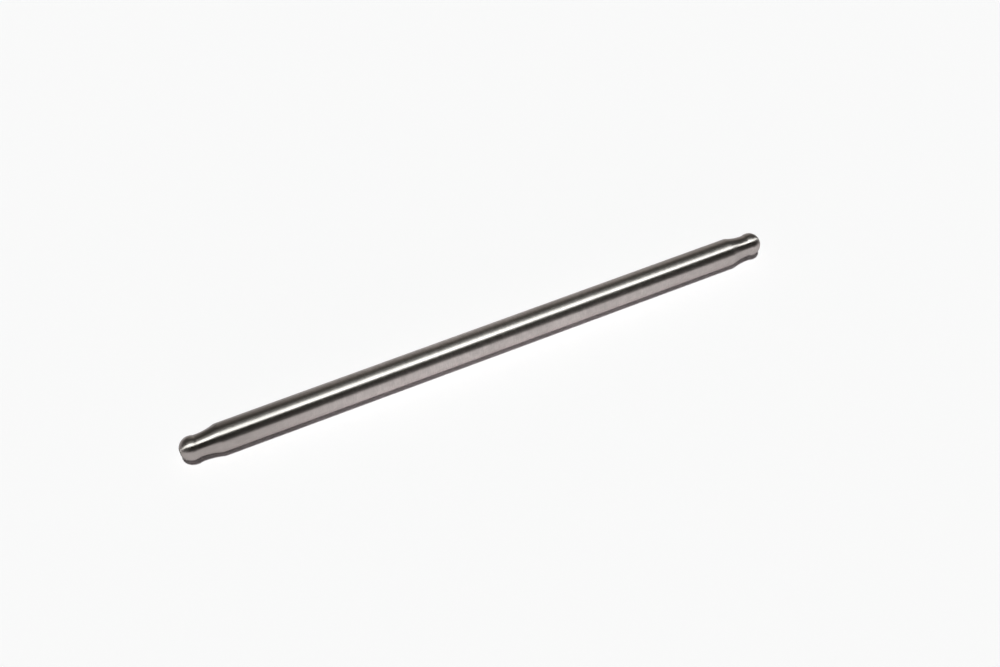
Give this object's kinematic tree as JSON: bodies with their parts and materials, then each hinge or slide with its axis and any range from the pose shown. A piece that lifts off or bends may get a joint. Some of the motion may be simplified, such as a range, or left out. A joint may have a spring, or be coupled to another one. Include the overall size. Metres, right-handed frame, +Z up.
{
  "type": "engine pushrod",
  "caption": "Slim ground-steel tube with a necked ball formed on either end and an oil passage through it, which carries cam motion from a valve lifter to a rocker arm.",
  "frame": {"origin": "middle of the rod's length, on its axis", "axes": "+X along the rod, +Z up; the rod is round and alike at both ends"},
  "size_m": [0.2104, 0.0094, 0.0096],
  "materials": {
    "ground_steel": "bright centreless-ground steel, bare"
  },
  "bodies": {
    "root": {"pushrod": "ground_steel"}
  },
  "joints": []
}
